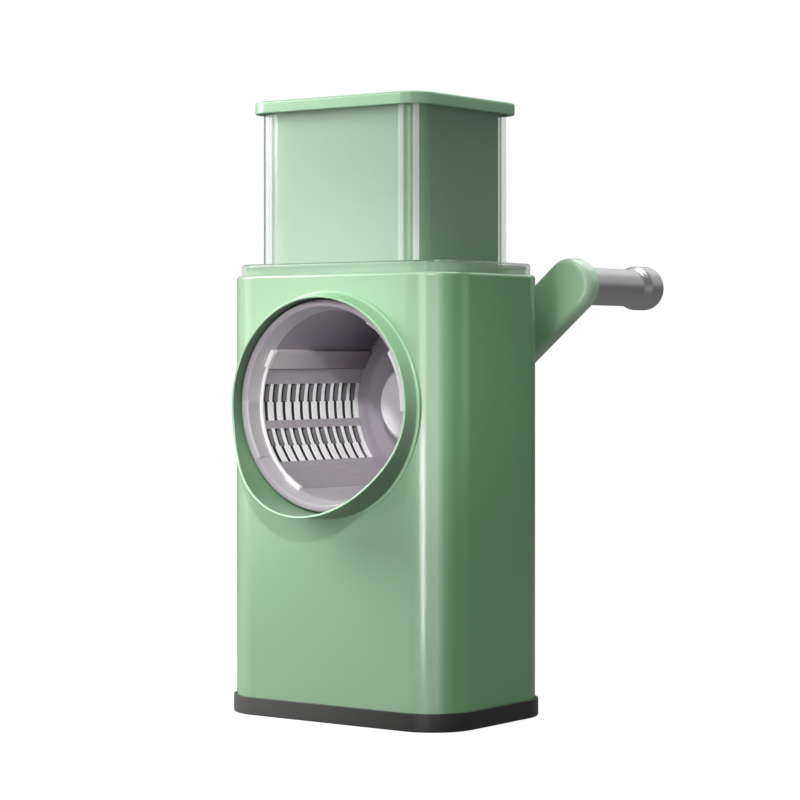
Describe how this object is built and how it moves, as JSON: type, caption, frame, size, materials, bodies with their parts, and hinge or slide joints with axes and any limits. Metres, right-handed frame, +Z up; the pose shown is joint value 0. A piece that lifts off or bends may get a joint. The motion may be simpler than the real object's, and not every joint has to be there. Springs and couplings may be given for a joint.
{
  "type": "rotary vegetable cutter",
  "caption": "Hand-cranked drum vegetable cutter: upright housing with a round outlet, slotted drum, clear hopper, sliding pusher and rear crank with a turning grip.",
  "frame": {"origin": "centre of the base underside", "axes": "+Z up, the outlet faces -Y, the crank is at +Y, +X is to the right seen from the outlet"},
  "size_m": [0.1467, 0.1995, 0.2898],
  "materials": {
    "housing_green": "gloss sage green moulding",
    "hopper_clear": "clear polished",
    "boot_black": "satin black",
    "plate_black": "matte black",
    "drum_grey": "satin light grey moulding",
    "sheet_steel": "fine brushed stainless sheet",
    "screw_steel": "plain bright steel",
    "bearing_white": "low-friction white plastic",
    "grip_silver": "satin silver grey"
  },
  "bodies": {
    "stand": {"base_boot": "boot_black", "base_plate": "plate_black", "base_screws": "screw_steel", "housing": "housing_green", "drum_sleeve": "housing_green", "sleeve_screws": "screw_steel", "shaft_bushing": "bearing_white", "hopper": "hopper_clear", "thrust_washer": "bearing_white"},
    "rotor": {"drum_frame": "drum_grey", "cutting_sheets": "sheet_steel", "drum_back": "drum_grey", "drive_shaft": "screw_steel", "shaft_clip": "screw_steel", "crank_arm": "housing_green", "arm_screw": "screw_steel", "arm_cap": "housing_green", "grip_pin": "screw_steel", "grip_washer": "bearing_white"},
    "grip": {"handle_grip": "grip_silver", "grip_end_cap": "grip_silver"},
    "pusher": {"pusher_block": "housing_green", "pusher_cap": "housing_green"}
  },
  "joints": [
    {"name": "crank_spin", "type": "hinge", "parent": "stand", "child": "rotor", "pos_m": [0, 0, 0.1465], "axis": [0, 1, 0], "continuous": true},
    {"name": "grip_spin", "type": "hinge", "parent": "rotor", "child": "grip", "pos_m": [0.06621, 0, 0.20325], "axis": [0, 1, 0], "continuous": true},
    {"name": "pusher_slide", "type": "slide", "parent": "stand", "child": "pusher", "axis": [0, 0, 1], "range_m": [0, 0.075]}
  ]
}
